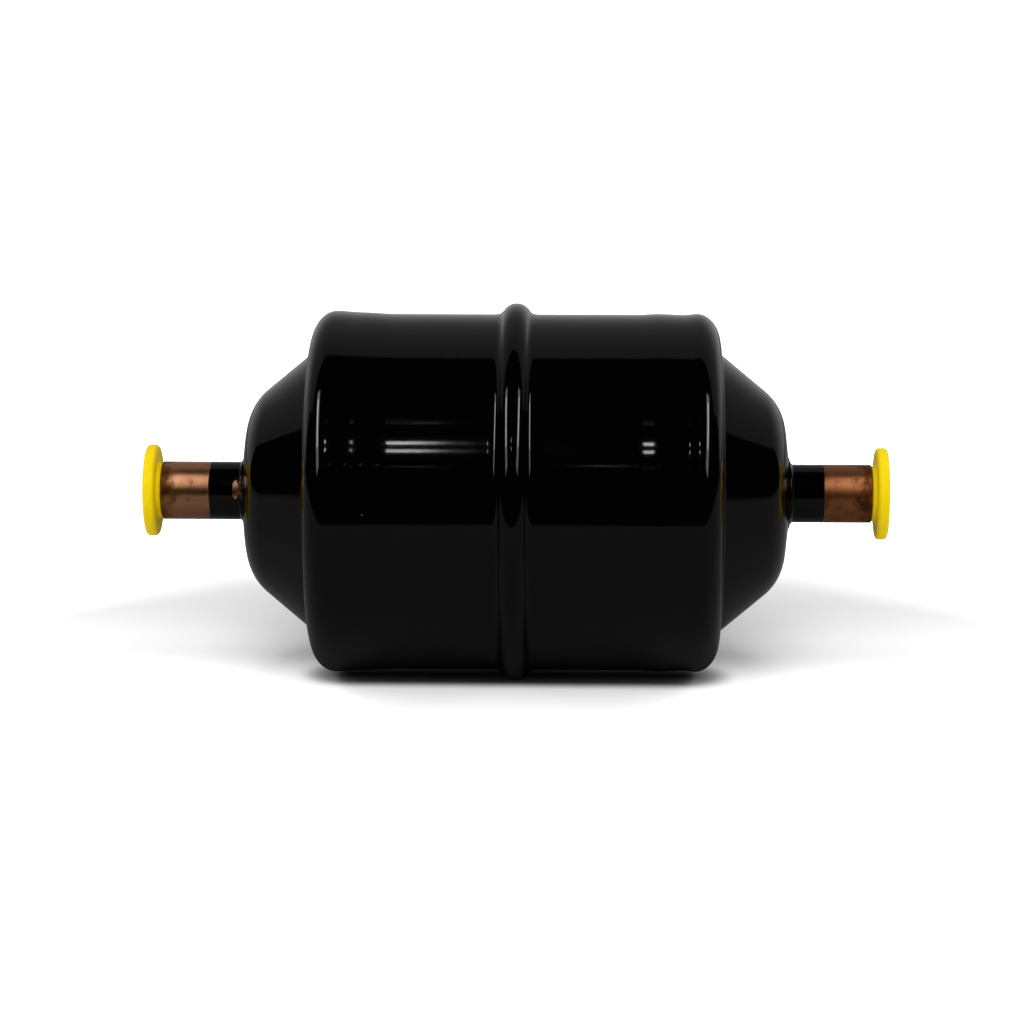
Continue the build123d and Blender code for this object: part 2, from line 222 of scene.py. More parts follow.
class DrierStage(bpy.types.PropertyGroup):
    """Camera, lamps, floor and backdrop."""
    distance: length("Camera distance", 0.708, "From the camera to the drier")
    lens: bpy.props.FloatProperty(
        name="Lens", description="Focal length in millimetres",
        default=116.0, min=20.0, unit="CAMERA")
    azimuth: bpy.props.FloatProperty(
        name="Azimuth", description="Camera's turn towards the outlet", default=radians(1.5),
        subtype="ANGLE")
    elevation: bpy.props.FloatProperty(
        name="Elevation", description="Camera's height as an angle", default=radians(12.0),
        subtype="ANGLE")
    floor: colour("Floor", (0.22, 0.22, 0.222), "Table top as the drier reflects it")
    backdrop: share("Backdrop", 0.27, "Brightness of the sheet behind and above, as gloss shows it")
    ambient: share("Ambient", 0.50, "Light from all round, which gloss doesn't show")
    softbox: bpy.props.FloatProperty(
        name="Softboxes", description="Brightness of each side lamp", default=3.9, min=0.0)
    softbox_core: bpy.props.FloatProperty(
        name="Softbox core", description="Brightness of each side lamp's middle",
        default=16.0, min=0.0)


GROUPS = (DrierShell, DrierWeld, DrierStub, DrierPlug, DrierSpring, DrierFinish, DrierStage)


def settings(group):
    """The scene's values of one group, such as DrierShell."""
    return getattr(bpy.context.scene, "drier_" + group.__name__[5:].lower())


# --- outlines ------------------------------------------------------------

def arc(centre, start, end, turning, step=radians(4.0)):
    """Points on the arc round centre from start to end, turning +1 or -1."""
    centre, start, end = Vector(centre), Vector(start), Vector(end)
    first = atan2(start.y - centre.y, start.x - centre.x)
    last = atan2(end.y - centre.y, end.x - centre.x)
    sweep = (last - first) * turning % (2 * pi)
    count = max(2, round(sweep / step))
    radius = (start - centre).length
    angles = [first + turning * sweep * i / count for i in range(count + 1)]
    return [centre + radius * Vector((cos(a), sin(a))) for a in angles]


def bent(points, bends, step=radians(4.0)):
    """Line through the points with each inner corner rounded to its bend."""
    points = [Vector(p) for p in points]
    line = [points[0]]
    for before, corner, after, bend in zip(points, points[1:], points[2:], bends):
        into = (corner - before).normalized()
        out = (after - corner).normalized()
        turn = atan2(into.x * out.y - into.y * out.x, into.dot(out))
        if bend <= 0 or abs(turn) < 1e-6:
            line.append(corner)
            continue
        run = bend * tan(abs(turn) / 2)
        side = 1 if turn > 0 else -1
        start = corner - into * run
        centre = start + bend * side * Vector((-into.y, into.x))
        line += arc(centre, start, corner + out * run, side, step)
    return line + [points[-1]]


def inner_line(line, wall):
    """The line moved a wall's thickness to its right."""
    moved = []
    for i, point in enumerate(line):
        ahead = line[min(i + 1, len(line) - 1)] - point
        behind = point - line[max(i - 1, 0)]
        along = ahead.normalized() + behind.normalized()
        along.normalize()
        moved.append(point + wall * Vector((along.y, -along.x)))
    return moved


def mirrored(outline):
    """The same outline at the inlet end, drawn in the same sense."""
    return [Vector((-p.x, p.y)) for p in reversed(outline)]


def eased(value, low, high):
    """From 0 to 1 with soft ends as the value goes from low to high."""
    part = min(max((value - low) / (high - low), 0.0), 1.0)
    return part * part * (3 - 2 * part)


def half_shell_outline(s, rises):
    """Outlet half: barrel, shoulder, step, cone, end face and neck."""
    crest_x = s.step_x - s.shoulder_length
    start_x = rises[0][0]
    crest_radius = s.radius + sum(amount for _, _, amount in rises)
    barrel = [Vector((WELD_SPLIT, s.radius))]
    for i in range(49):
        x = start_x + (crest_x - start_x) * i / 48
        rise = sum(amount * eased(x, low, high) for low, high, amount in rises)
        barrel.append(Vector((x, s.radius + rise)))
    shoulder = []
    for i in range(1, 31):
        turn = radians(3.0 * i)
        shoulder.append(Vector((crest_x + s.shoulder_length * sin(turn),
                                crest_radius - s.shoulder_depth * (1 - cos(turn)))))
    end_x = s.step_x + s.cone_length
    drop = (s.cone_top_radius - s.neck_radius) * tan(s.end_slope)
    points = [
        shoulder[-1],
        (s.step_x, s.foot_radius),
        (end_x - drop, s.cone_top_radius),
        (end_x, s.neck_radius),
        (end_x - s.neck_depth, s.neck_radius),
    ]
    end = bent(points, [s.step_bend, s.cone_top_bend, s.neck_bend], radians(3.0))
    outer = barrel + shoulder + end[1:]
    return outer + list(reversed(inner_line(outer, s.wall)))


def weld_outline(s, w):
    """Bead with a flat crown, steep flanks and hollow toes."""
    right = bent([
        (0, s.radius + w.height),
        (w.crown, s.radius + w.height),
        (w.toe, s.radius + w.toe_height),
        (WELD_FADE, s.radius),
        (WELD_SPLIT, s.radius),
    ], [w.crown_bend, w.toe_bend, w.fade_bend], radians(3.0))
    inner = s.radius - s.wall
    under = [Vector((WELD_SPLIT, inner)), Vector((-WELD_SPLIT, inner))]
    return mirrored(right)[:-1] + right + under


def stub_outline(s):
    """Outlet stub: socket, sloped pipe stop, port and spigot."""
    outer_x = s.end_x + s.out_length
    inner_x = s.end_x - s.in_length
    stop_x = outer_x - s.socket_depth
    shoulder_x = s.end_x + s.braze_leg
    points = [
        (stop_x, s.socket_radius),
        (stop_x - 0.0008, s.port_radius),
        (inner_x, s.port_radius),
        (inner_x, s.spigot_radius),
        (shoulder_x, s.spigot_radius),
        (shoulder_x, s.radius),
        (outer_x, s.radius),
        (outer_x, s.socket_radius),
        (stop_x, s.socket_radius),
    ]
    return bent(points, [0, s.edge, s.edge, 0, 0, s.edge, s.edge], radians(15.0))[:-1]


def braze_outline(s, shell):
    """Fillet of braze from the end face up to the stub, and down its neck."""
    foot = Vector((s.end_x + s.braze_leg, s.radius))
    rim = Vector((s.end_x, s.radius + s.braze_spread))
    middle = (foot + rim) / 2 + Vector((-0.00026, -0.00018))
    hollow = [rim.lerp(middle, t).lerp(middle.lerp(foot, t), t) for t in (0, .2, .4, .6, .8, 1)]
    depth_x = s.end_x - 0.0012
    return [
        Vector((depth_x, s.spigot_radius)),
        Vector((depth_x, shell.neck_radius)),
        Vector((s.end_x - 0.0007, shell.neck_radius + 0.0004)),
        Vector((s.end_x - 0.0003, s.radius + 0.0008)),
        Vector((s.end_x - 0.0001, s.radius + s.braze_spread)),
    ] + hollow + [Vector((foot.x, s.spigot_radius))]


def plug_outline(s, stub):
    """Outlet plug from the middle of its tip, round the flange, into its hollow."""
    mouth_x = stub.end_x + stub.out_length
    flange_x = mouth_x + s.collar_length
    face_x = flange_x + s.flange_thickness
    tip_x = mouth_x - s.shank_length
    tip_radius = s.shank_radius - s.shank_taper
    points = [
        (tip_x, 0),
        (tip_x, tip_radius),
        (mouth_x, s.shank_radius),
        (mouth_x, s.collar_radius),
        (flange_x, s.collar_radius),
        (flange_x, s.flange_radius),
        (face_x, s.flange_radius),
        (face_x, s.shank_radius - s.wall),
        (tip_x + s.wall, tip_radius - s.wall),
        (tip_x + s.wall, 0),
    ]
    bends = [0.0005, 0, 0.00015, 0.00025, s.flange_edge, s.flange_edge, 0.0004, 0.0003]
    return bent(points, bends, radians(10.0))


# --- Geometry Nodes ------------------------------------------------------

def add_node(tree, kind, inputs=None, **values):
    """A node with its settings, and its sockets filled or linked."""
    made = tree.nodes.new(kind)
    for name, value in values.items():
        setattr(made, name, value)
    for key, value in (inputs or {}).items():
        socket = made.inputs[key]
        if isinstance(value, bpy.types.NodeSocket):
            tree.links.new(value, socket)
        else:
            socket.default_value = value
    return made


def maths(tree, operation, first, second=0.0, third=0.0):
    """Output of a Math node."""
    made = add_node(tree, "ShaderNodeMath", {0: first, 1: second, 2: third}, operation=operation)
    return made.outputs[0]


def new_group(name, sockets):
    """Geometry tree with a geometry in and out, and the named inputs."""
    tree = bpy.data.node_groups.new(name, "GeometryNodeTree")
    tree.interface.new_socket("Geometry", in_out="INPUT", socket_type="NodeSocketGeometry")
    for label, kind, default in sockets:
        socket = tree.interface.new_socket(label, in_out="INPUT", socket_type="NodeSocket" + kind)
        if default is not None:
            socket.default_value = default
    tree.interface.new_socket("Geometry", in_out="OUTPUT", socket_type="NodeSocketGeometry")
    return tree, tree.nodes.new("NodeGroupInput"), tree.nodes.new("NodeGroupOutput")


def turning_tree():
    """Turns the outline in its input geometry about X."""
    tree, given, result = new_group("Turned piece", [
        ("Points", "Int", 2), ("Segments", "Int", 96), ("Merge Distance", "Float", 1e-6),
        ("Material", "Material", None)])
    rows = maths(tree, "ADD", given.outputs["Segments"], 1.0)
    grid = add_node(tree, "GeometryNodeMeshGrid", {
        "Vertices X": given.outputs["Points"], "Vertices Y": rows})
    index = tree.nodes.new("GeometryNodeInputIndex").outputs[0]
    column = maths(tree, "FLOOR", maths(tree, "DIVIDE", maths(tree, "ADD", index, 0.5), rows))
    row = maths(tree, "FLOORED_MODULO", index, rows)
    turn = maths(tree, "MULTIPLY", row, maths(tree, "DIVIDE", 2 * pi, given.outputs["Segments"]))
    place = tree.nodes.new("GeometryNodeInputPosition").outputs[0]
    drawn = add_node(tree, "GeometryNodeSampleIndex", {
        "Geometry": given.outputs["Geometry"], "Index": column}, data_type="FLOAT_VECTOR")
    tree.links.new(place, drawn.inputs["Value"])
    drawn = add_node(tree, "ShaderNodeSeparateXYZ", {0: drawn.outputs["Value"]})
    radius = drawn.outputs["Z"]
    turned = add_node(tree, "ShaderNodeCombineXYZ", {
        "X": drawn.outputs["X"],
        "Y": maths(tree, "MULTIPLY", radius, maths(tree, "SINE", turn)),
        "Z": maths(tree, "MULTIPLY", radius, maths(tree, "COSINE", turn))})
    moved = add_node(tree, "GeometryNodeSetPosition", {
        "Geometry": grid.outputs["Mesh"], "Position": turned.outputs[0]})
    closed = add_node(tree, "GeometryNodeMergeByDistance", {
        "Geometry": moved.outputs[0], "Distance": given.outputs["Merge Distance"]})
    real = add_node(tree, "GeometryNodeRealizeInstances", {"Geometry": closed.outputs[0]})
    painted = add_node(tree, "GeometryNodeSetMaterial", {
        "Geometry": real.outputs[0], "Material": given.outputs["Material"]})
    tree.links.new(painted.outputs[0], result.inputs[0])
    return tree


def spring_tree():
    """Wire wound on a cone, with a flat part-turn at each end."""
    tree, given, result = new_group("Conical spring", [
        ("Segments", "Int", 400), ("Wire Radius", "Float", 0.001), ("Turns", "Float", 3.5),
        ("Closed End", "Float", 4.7), ("Start Angle", "Float", 0.0),
        ("Large Radius", "Float", 0.024), ("Small Radius", "Float", 0.0115),
        ("Large End", "Float", -0.042), ("Small End", "Float", -0.056),
        ("Material", "Material", None)])
    count = given.outputs["Segments"]
    line = add_node(tree, "GeometryNodeMeshLine", {"Count": count})
    index = tree.nodes.new("GeometryNodeInputIndex").outputs[0]
    working = maths(tree, "MULTIPLY", given.outputs["Turns"], 2 * pi)
    dead = given.outputs["Closed End"]
    whole = maths(tree, "ADD", working, maths(tree, "MULTIPLY", dead, 2.0))
    part = maths(tree, "DIVIDE", index, maths(tree, "SUBTRACT", count, 1.0))
    wound = maths(tree, "MULTIPLY", part, whole)
    rise = add_node(tree, "ShaderNodeClamp", {
        0: maths(tree, "DIVIDE", maths(tree, "SUBTRACT", wound, dead), working)}).outputs[0]
    turn = maths(tree, "ADD", wound, given.outputs["Start Angle"])

    def between(first, last):
        span = maths(tree, "SUBTRACT", given.outputs[last], given.outputs[first])
        return maths(tree, "MULTIPLY_ADD", rise, span, given.outputs[first])

    radius = between("Large Radius", "Small Radius")
    place = add_node(tree, "ShaderNodeCombineXYZ", {
        "X": between("Large End", "Small End"),
        "Y": maths(tree, "MULTIPLY", radius, maths(tree, "SINE", turn)),
        "Z": maths(tree, "MULTIPLY", radius, maths(tree, "COSINE", turn))})
    wound_line = add_node(tree, "GeometryNodeSetPosition", {
        "Geometry": line.outputs[0], "Position": place.outputs[0]})
    path = add_node(tree, "GeometryNodeMeshToCurve", {"Mesh": wound_line.outputs[0]})
    section = add_node(tree, "GeometryNodeCurvePrimitiveCircle", {
        "Resolution": 20, "Radius": given.outputs["Wire Radius"]})
    wire = add_node(tree, "GeometryNodeCurveToMesh", {
        "Curve": path.outputs[0], "Profile Curve": section.outputs[0], "Fill Caps": True})
    real = add_node(tree, "GeometryNodeRealizeInstances", {"Geometry": wire.outputs[0]})
    coated = add_node(tree, "GeometryNodeSetMaterial", {
        "Geometry": real.outputs[0], "Material": given.outputs["Material"]})
    tree.links.new(coated.outputs[0], result.inputs[0])
    return tree


def tree_named(name, build):
    """The node group of that name, built once."""
    return bpy.data.node_groups.get(name) or build()


def grown(name, base, tree, inputs, sharp=radians(35.0)):
    """Plain object holding what the tree makes of the base mesh."""
    piece = bpy.data.objects.new(name, base)
    bpy.context.scene.collection.objects.link(piece)
    modifier = piece.modifiers.new(tree.name, "NODES")
    modifier.node_group = tree
    sockets = {s.name: s.identifier for s in tree.interface.items_tree if s.in_out == "INPUT"}
    for label, value in inputs.items():
        modifier[sockets[label]] = value
    graph = bpy.context.evaluated_depsgraph_get()
    mesh = bpy.data.meshes.new_from_object(piece.evaluated_get(graph))
    piece.modifiers.clear()
    piece.data = mesh
    bpy.data.meshes.remove(base)
    mesh.name = name
    mesh.shade_smooth()
    mesh.set_sharp_from_angle(angle=sharp)
    if not mesh.polygons:
        raise RuntimeError(f"{name} came out empty")
    return piece


def turned(name, outline, material, segments):
    """Closed solid of revolution from an outline that is drawn clockwise."""
    on_axis = abs(outline[0].y) < 1e-9 and abs(outline[-1].y) < 1e-9
    points = list(outline) if on_axis else list(outline) + [outline[0]]
    base = bpy.data.meshes.new(name + "_outline")
    lines = [(i, i + 1) for i in range(len(points) - 1)]
    base.from_pydata([(p.x, 0.0, p.y) for p in points], lines, [])
    tree = tree_named("Turned piece", turning_tree)
    return grown(name, base, tree, {
        "Points": len(points), "Segments": segments, "Material": material})


def placed(piece, body, slot, *nodes):
    """The piece rides on its body and stands for its CAD nodes."""
    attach(piece, body)
    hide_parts(*nodes)
    return piece


# --- finishes ------------------------------------------------------------

class Finish:
    """A material whose pattern is built node by node."""

    def __init__(self, name):
        self.material = bpy.data.materials.new(name)
        self.material.use_nodes = True
        self.tree = self.material.node_tree
        self.surface = self.tree.nodes["Principled BSDF"]
        self.place = self.tree.nodes.new("ShaderNodeTexCoord").outputs["Object"]

    def set(self, **values):
        """Uniform values on the shader's own sockets."""
        for name, value in values.items():
            self.surface.inputs[name.replace("_", " ")].default_value = value

    def drive(self, socket, source):
        """Links a pattern to one of the shader's sockets."""
        self.tree.links.new(source, self.surface.inputs[socket])

    def math(self, operation, first, second=0.0, third=0.0):
        """Output of a Math node."""
        return maths(self.tree, operation, first, second, third)

    def stretched(self, scale):
        """Object coordinates scaled along each axis."""
        made = add_node(self.tree, "ShaderNodeMapping", {"Vector": self.place, "Scale": scale})
        return made.outputs[0]

    def axes(self):
        """The X, Y and Z outputs of the object coordinates."""
        return add_node(self.tree, "ShaderNodeSeparateXYZ", {0: self.place}).outputs

    def noise(self, scale, detail=2.0, rough=0.5, stretch=None):
        """Noise from 0 to 1 at a scale per metre."""
        vector = self.stretched(stretch) if stretch else self.place
        made = add_node(self.tree, "ShaderNodeTexNoise", {
            "Vector": vector, "Scale": scale, "Detail": detail, "Roughness": rough})
        return made.outputs["Fac"]

    def ramp(self, value, low, high, out_low=0.0, out_high=1.0, smooth=True):
        """The value brought from one range to another, held at both ends."""
        kind = "SMOOTHSTEP" if smooth else "LINEAR"
        made = add_node(self.tree, "ShaderNodeMapRange", {
            "Value": value, "From Min": low, "From Max": high,
            "To Min": out_low, "To Max": out_high}, interpolation_type=kind)
        return made.outputs["Result"]

    def spots(self, scale, size, amount):
        """Mask of round spots: their size in cells, and the share of cells that have one."""
        cells = add_node(self.tree, "ShaderNodeTexVoronoi", {
            "Vector": self.place, "Scale": scale, "Randomness": 1.0})
        chance = add_node(self.tree, "ShaderNodeSeparateColor", {0: cells.outputs["Color"]})
        chosen = self.math("LESS_THAN", chance.outputs[0], amount)
        near = self.ramp(cells.outputs["Distance"], size, size * 0.5)
        return self.math("MULTIPLY", chosen, near)

    def distance(self, place):
        """Distance from a place, in metres."""
        made = add_node(self.tree, "ShaderNodeVectorMath", {
            0: self.place, 1: place}, operation="DISTANCE")
        return made.outputs["Value"]

    def near(self, place, radius):
        """Mask of a round mark at one place, soft over its outer half."""
        return self.ramp(self.distance(place), radius, radius * 0.5)

    def patch(self, place, size):
        """Mask of an oval mark with ragged edges, from its middle and half sizes."""
        away = add_node(self.tree, "ShaderNodeVectorMath", {0: self.place, 1: place},
                        operation="SUBTRACT")
        part = add_node(self.tree, "ShaderNodeVectorMath", {0: away.outputs[0], 1: size},
                        operation="DIVIDE")
        reach = add_node(self.tree, "ShaderNodeVectorMath", {0: part.outputs[0]},
                         operation="LENGTH").outputs["Value"]
        ragged = self.math("ADD", reach, self.math("MULTIPLY", self.noise(900.0, 3.0), 0.8))
        return self.ramp(ragged, 1.45, 1.3)

    def mix(self, factor, first, second):
        """Colour between two colours."""
        made = self.tree.nodes.new("ShaderNodeMix")
        made.data_type = "RGBA"
        filled = ((made.inputs[0], factor), (made.inputs[6], first), (made.inputs[7], second))
        for socket, value in filled:
            if isinstance(value, bpy.types.NodeSocket):
                self.tree.links.new(value, socket)
            else:
                socket.default_value = (*value, 1.0) if socket.type == "RGBA" else value
        return made.outputs[2]

    def bump(self, height, distance, strength=1.0, under=None):
        """Normal from a height from 0 to 1, in metres of distance."""
        made = add_node(self.tree, "ShaderNodeBump", {
            "Height": height, "Distance": distance, "Strength": strength})
        if under is not None:
            self.tree.links.new(under, made.inputs["Normal"])
        return made.outputs[0]


def black_paint(name, marks=()):
    """Gloss powder coat: faint orange peel, dust under the film, and a few marks."""
    colours = settings(DrierFinish)
    finish = Finish(name)
    dust = finish.spots(230.0, 0.055, 0.05)
    haze = finish.noise(60.0, 4.0, 0.6)
    base = finish.mix(dust, tuple(colours.paint), (0.06, 0.06, 0.055))
    gloss = finish.ramp(haze, 0.35, 0.75, colours.paint_gloss, colours.paint_gloss + 0.02)
    peel = finish.noise(420.0, 1.0, 0.4)
    waves = finish.noise(95.0, 1.0, 0.4)
    normal = finish.bump(peel, 0.0000035)
    normal = finish.bump(waves, 0.000006, under=normal)
    normal = finish.bump(dust, 0.00004, under=normal)
    for x, y, z, radius, depth, tint in marks:
        mark = finish.near((x, y, z), radius)
        base = finish.mix(mark, base, (tint, tint, tint * 0.95))
        normal = finish.bump(mark, depth, under=normal)
        gloss = finish.math("ADD", gloss, finish.math("MULTIPLY", mark, 0.3))
    finish.drive("Base Color", base)
    finish.drive("Roughness", gloss)
    finish.drive("Normal", normal)
    finish.set(Specular_IOR_Level=0.25)
    return finish.material


def copper_and_paint(name, copper, rough, paint_edge, patches=()):
    """Drawn copper, dulled in places, with black paint up to an edge along X."""
    colours = settings(DrierFinish)
    finish = Finish(name)
    along = finish.math("ABSOLUTE", finish.axes()["X"])
    wander = finish.noise(260.0, 3.0, 0.6)
    edge = finish.math("ADD", along, finish.math("MULTIPLY", wander, 0.00045))
    paint = finish.ramp(edge, paint_edge + 0.00030, paint_edge + 0.00018)
    for place, size in patches:
        bare = finish.patch(place, size)
        paint = finish.math("MULTIPLY", paint, finish.math("SUBTRACT", 1.0, bare))
    drawn = finish.noise(900.0, 4.0, 0.65, stretch=(0.12, 1.0, 1.0))
    cloud = finish.noise(190.0, 6.0, 0.68)
    freckle = finish.spots(430.0, 0.30, 0.14)
    by_plug = finish.ramp(along, 0.0700, 0.0755, 0.0, 0.16)
    dulled = finish.ramp(finish.math("ADD", cloud, by_plug), 0.50, 0.72, 0.0, 0.85)
    dulled = finish.math("MAXIMUM", dulled, finish.math("MULTIPLY", freckle, 0.8))
    streaked = finish.mix(finish.ramp(drawn, 0.3, 0.7), tuple(c * 0.82 for c in copper),
                          tuple(copper))
    metal = finish.mix(dulled, streaked, tuple(colours.oxide))
    base = finish.mix(paint, metal, tuple(colours.paint))
    bare_rough = finish.math("ADD", finish.ramp(drawn, 0.3, 0.7, rough, rough + 0.08),
                             finish.math("MULTIPLY", dulled, 0.15))
    roughness = finish.math("ADD", bare_rough, finish.math(
        "MULTIPLY", paint, finish.math("SUBTRACT", 0.09, bare_rough)))
    normal = finish.bump(drawn, 0.000006)
    normal = finish.bump(finish.noise(210.0, 2.0, 0.5), 0.00003, under=normal)
    runs = finish.noise(330.0, 2.0, 0.5, stretch=(1.0, 0.4, 0.4))
    normal = finish.bump(finish.math("MULTIPLY", runs, paint), 0.00007, under=normal)
    normal = finish.bump(paint, 0.00008, under=normal)
    around = add_node(finish.tree, "ShaderNodeTangent", direction_type="RADIAL", axis="X")
    finish.drive("Tangent", around.outputs[0])
    finish.drive("Base Color", base)
    finish.drive("Metallic", finish.math("SUBTRACT", 1.0, paint))
    finish.drive("Roughness", roughness)
    finish.drive("Normal", normal)
    finish.set(Anisotropic=0.92, Anisotropic_Rotation=0.25, Specular_IOR_Level=0.25)
    return finish.material


def braze_finish(name):
    """Braze metal under paint, bare where the paint didn't reach the root."""
    colours = settings(DrierFinish)
    finish = Finish(name)
    patch = finish.ramp(finish.noise(240.0, 3.0, 0.6), 0.56, 0.66)
    finish.drive("Base Color", finish.mix(patch, tuple(colours.paint), (0.26, 0.11, 0.04)))
    finish.drive("Metallic", patch)
    finish.drive("Roughness", finish.ramp(patch, 0.0, 1.0, 0.12, 0.38))
    finish.drive("Normal", finish.bump(finish.noise(500.0, 3.0, 0.5), 0.00004))
    return finish.material


def plug_plastic(name):
    """Soft moulded plastic: satin, a little cloudy, with a faint sheen of handling."""
    colours = settings(DrierFinish)
    finish = Finish(name)
    cloud = finish.noise(140.0, 3.0, 0.55)
    plain = tuple(colours.plug)
    deeper = (plain[0] * 0.90, plain[1] * 0.86, plain[2] * 0.8)
    finish.drive("Base Color", finish.mix(finish.ramp(cloud, 0.3, 0.72), deeper, plain))
    finish.drive("Roughness", finish.ramp(finish.noise(300.0, 3.0, 0.6), 0.3, 0.7, 0.36, 0.52))
    grain = finish.bump(finish.noise(2600.0, 2.0, 0.6), 0.000009)
    finish.drive("Normal", finish.bump(finish.noise(180.0, 2.0, 0.5), 0.00005, under=grain))
    finish.set(Specular_IOR_Level=0.09)
    return finish.material


def steel_finish(name, tone, rough, stretch, tint=(1.0, 0.99, 0.97)):
    """Bright steel with fine drawing or rolling marks and a trace of oil."""
    finish = Finish(name)
    lines = finish.noise(1400.0, 3.0, 0.6, stretch=stretch)
    film = finish.noise(45.0, 3.0, 0.5)
    light = tuple(tone * c for c in tint)
    dark = tuple(tone * 0.72 * c for c in tint)
    finish.drive("Base Color", finish.mix(finish.ramp(lines, 0.3, 0.7), dark, light))
    finish.drive("Roughness", finish.ramp(film, 0.3, 0.7, rough, rough + 0.16))
    finish.drive("Normal", finish.bump(lines, 0.000008))
    finish.set(Metallic=1.0)
    return finish.material


def wire_cloth(name):
    """Plain woven wire: two sets of crossing wires, over and under, with painted shade in the
    openings between them.
    """
    finish = Finish(name)
    axes = finish.axes()
    pitch = 2 * pi / 0.0006

    def wires(axis):
        wave = finish.math("SINE", finish.math("MULTIPLY", axis, pitch))
        return finish.math("ABSOLUTE", wave)

    weave = finish.math("MAXIMUM", wires(axes["Y"]), wires(axes["Z"]))
    # Painted shade: the colour goes near black where neither set of wires runs, in the cloth's
    # openings.
    finish.drive("Base Color", finish.mix(finish.ramp(weave, 0.45, 0.8), (0.09, 0.09, 0.09),
                                          (0.58, 0.57, 0.54)))
    finish.drive("Roughness", finish.ramp(weave, 0.4, 0.9, 0.6, 0.28))
    finish.drive("Normal", finish.bump(weave, 0.00012))
    finish.set(Metallic=1.0)
    return finish.material


def fibre_mat(name, light, dark, scale, depth):
    """Matted fibre: long crossing noise for the strands."""
    finish = Finish(name)
    one = finish.noise(scale, 6.0, 0.7, stretch=(1.0, 0.25, 1.0))
    other = finish.noise(scale, 6.0, 0.7, stretch=(1.0, 1.0, 0.25))
    strands = finish.math("MAXIMUM", one, other)
    finish.drive("Base Color", finish.mix(finish.ramp(strands, 0.35, 0.75), dark, light))
    finish.drive("Roughness", finish.ramp(strands, 0.3, 0.8, 0.8, 1.0))
    finish.drive("Normal", finish.bump(strands, depth))
    return finish.material


def moulded_core(name):
    """Porous block of bonded drying beads, with painted shade darkening the spaces between them."""
    finish = Finish(name)
    beads = add_node(finish.tree, "ShaderNodeTexVoronoi", {
        "Vector": finish.place, "Scale": 900.0}, feature="F1")
    shade = add_node(finish.tree, "ShaderNodeSeparateColor", {0: beads.outputs["Color"]})
    light = finish.mix(shade.outputs[0], (0.66, 0.60, 0.50), (0.80, 0.76, 0.68))
    dark = finish.mix(shade.outputs[1], (0.34, 0.29, 0.22), (0.45, 0.40, 0.33))
    gap_with_painted_shade = finish.ramp(beads.outputs["Distance"], 0.35, 0.7)
    # Painted shade: the colour darkens between the beads.
    finish.drive("Base Color", finish.mix(gap_with_painted_shade, light, dark))
    finish.drive("Roughness", finish.ramp(gap_with_painted_shade, 0.0, 1.0, 0.85, 1.0))
    height = finish.math("SUBTRACT", 1.0, beads.outputs["Distance"])
    finish.drive("Normal", finish.bump(height, 0.0004))
    return finish.material


# --- operators -----------------------------------------------------------

class DRIER_OT_shell(bpy.types.Operator):
    """Make both painted half shells"""
    bl_idname = "drier.shell"
    bl_label = "Shell halves"

    def execute(self, context):
        s = settings(DrierShell)
        inlet = mirrored(half_shell_outline(s, INLET_RISES))
        outlet = half_shell_outline(s, OUTLET_RISES)
        ends = (
            ("inlet_shell", inlet, "inlet_half_shell", INLET_MARKS),
            ("outlet_shell", outlet, "outlet_half_shell", OUTLET_MARKS),
        )
        for name, line, node, marks in ends:
            paint = black_paint(name + "_paint", marks)
            placed(turned(name, line, paint, s.segments), "drier", "black_paint", node)
        return {"FINISHED"}


class DRIER_OT_weld(bpy.types.Operator):
    """Make the painted bead over the girth weld"""
    bl_idname = "drier.weld"
    bl_label = "Girth weld"

    def execute(self, context):
        s = settings(DrierShell)
        outline = weld_outline(s, settings(DrierWeld))
        bead = turned("weld_bead", outline, black_paint("weld_paint"), s.segments)
        placed(bead, "drier", "black_paint", "girth_weld")
        return {"FINISHED"}


class DRIER_OT_stubs(bpy.types.Operator):
    """Make the copper stubs with paint beside the shell"""
    bl_idname = "drier.stubs"
    bl_label = "Copper stubs"

    def execute(self, context):
        s = settings(DrierStub)
        outline = stub_outline(s)
        colours = settings(DrierFinish)
        ends = (
            ("inlet", mirrored(outline), colours.inlet_copper, 0.40, s.inlet_paint, [BARE_SPOT]),
            ("outlet", outline, colours.outlet_copper, 0.52, s.outlet_paint, []),
        )
        for end, line, metal, rough, paint, patches in ends:
            copper = copper_and_paint(end + "_stub_copper", metal, rough, s.end_x + paint, patches)
            stub = turned(end + "_copper_stub", line, copper, ROUND_SEGMENTS)
            placed(stub, "drier", "copper", end + "_stub")
        return {"FINISHED"}


class DRIER_OT_braze(bpy.types.Operator):
    """Make the braze fillets between the stubs and the shell"""
    bl_idname = "drier.braze"
    bl_label = "Braze rings"

    def execute(self, context):
        outline = braze_outline(settings(DrierStub), settings(DrierShell))
        finish = braze_finish("braze_under_paint")
        for end, line in (("inlet", mirrored(outline)), ("outlet", outline)):
            ring = turned(end + "_braze_fillet", line, finish, ROUND_SEGMENTS)
            placed(ring, "drier", "braze", end + "_braze_ring")
        return {"FINISHED"}


class DRIER_OT_plugs(bpy.types.Operator):
    """Make the plastic shipping plugs"""
    bl_idname = "drier.plugs"
    bl_label = "Shipping plugs"

    def execute(self, context):
        outline = plug_outline(settings(DrierPlug), settings(DrierStub))
        plastic = plug_plastic("plug_plastic")
        for end, line in (("inlet", mirrored(outline)), ("outlet", outline)):
            plug = turned(end + "_plug", line, plastic, ROUND_SEGMENTS)
            placed(plug, end + "_cap", "plug_yellow", end + "_cap")
        return {"FINISHED"}


